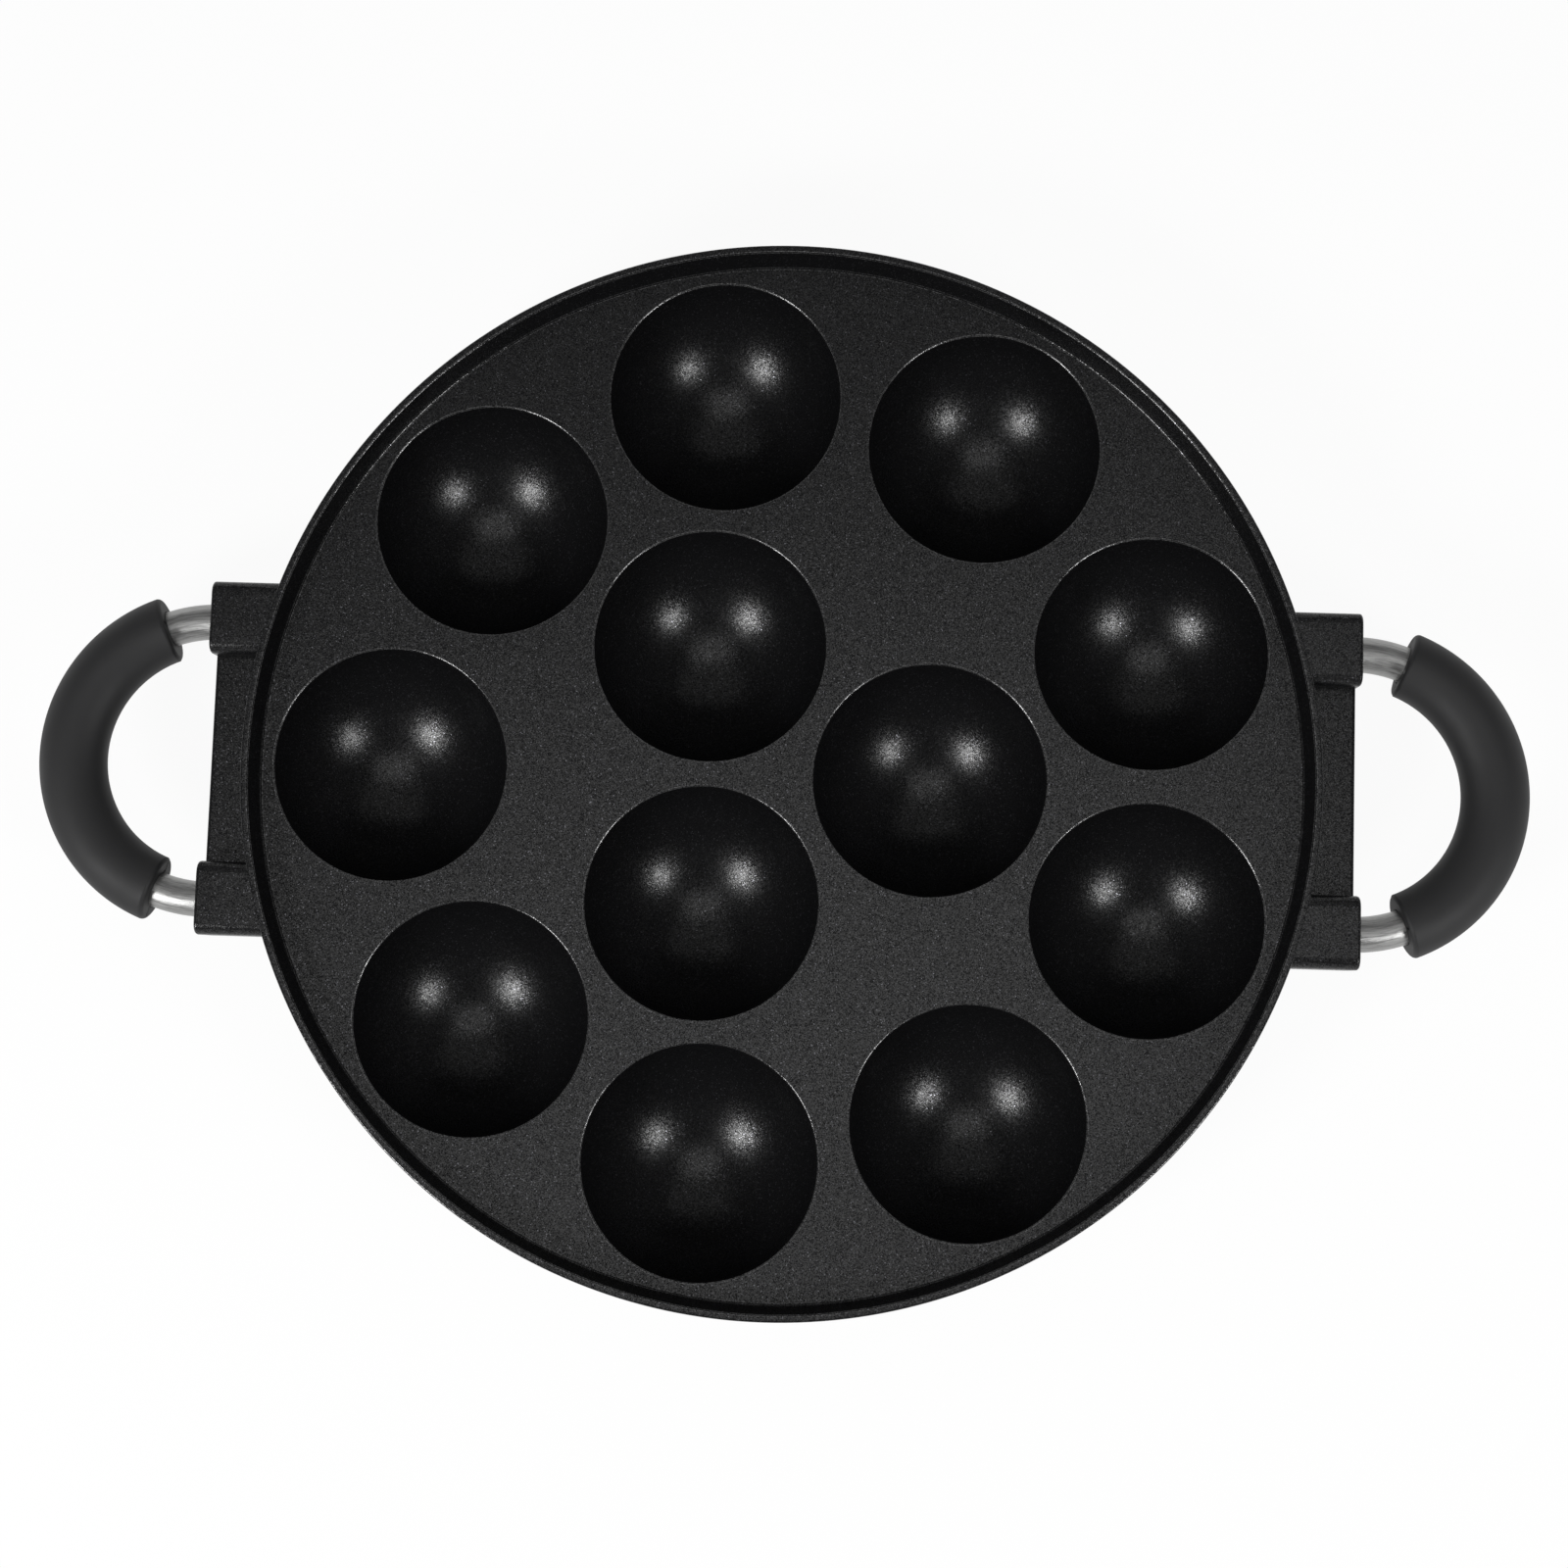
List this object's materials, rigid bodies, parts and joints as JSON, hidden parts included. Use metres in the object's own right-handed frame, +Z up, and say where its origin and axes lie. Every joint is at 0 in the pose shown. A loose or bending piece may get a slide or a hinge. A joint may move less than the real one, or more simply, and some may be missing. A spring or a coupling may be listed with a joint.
{
  "type": "takoyaki pan",
  "caption": "Round black cast pan with ball-shaped cups in a recessed plate and a bent steel handle in a silicone grip on each side.",
  "frame": {"origin": "on the resting plane, under the middle of the pan", "axes": "+Z up out of the cups, +X through the middle of both handles, towards the side where the inner ring has a cup"},
  "size_m": [0.3346, 0.24, 0.035],
  "materials": {
    "coated_aluminium": "black non-stick coating, satin, with a fine metallic speckle, on die-cast aluminium",
    "steel_rod": "drawn and polished stainless steel rod",
    "silicone_grip": "matte black silicone",
    "screw_steel": "dark oxidised steel"
  },
  "bodies": {
    "root": {"pan_body": "coated_aluminium", "handle_rod_right": "steel_rod", "handle_grip_right": "silicone_grip", "set_screw_right_1": "screw_steel", "set_screw_right_2": "screw_steel", "handle_rod_left": "steel_rod", "handle_grip_left": "silicone_grip", "set_screw_left_1": "screw_steel", "set_screw_left_2": "screw_steel"}
  },
  "joints": []
}
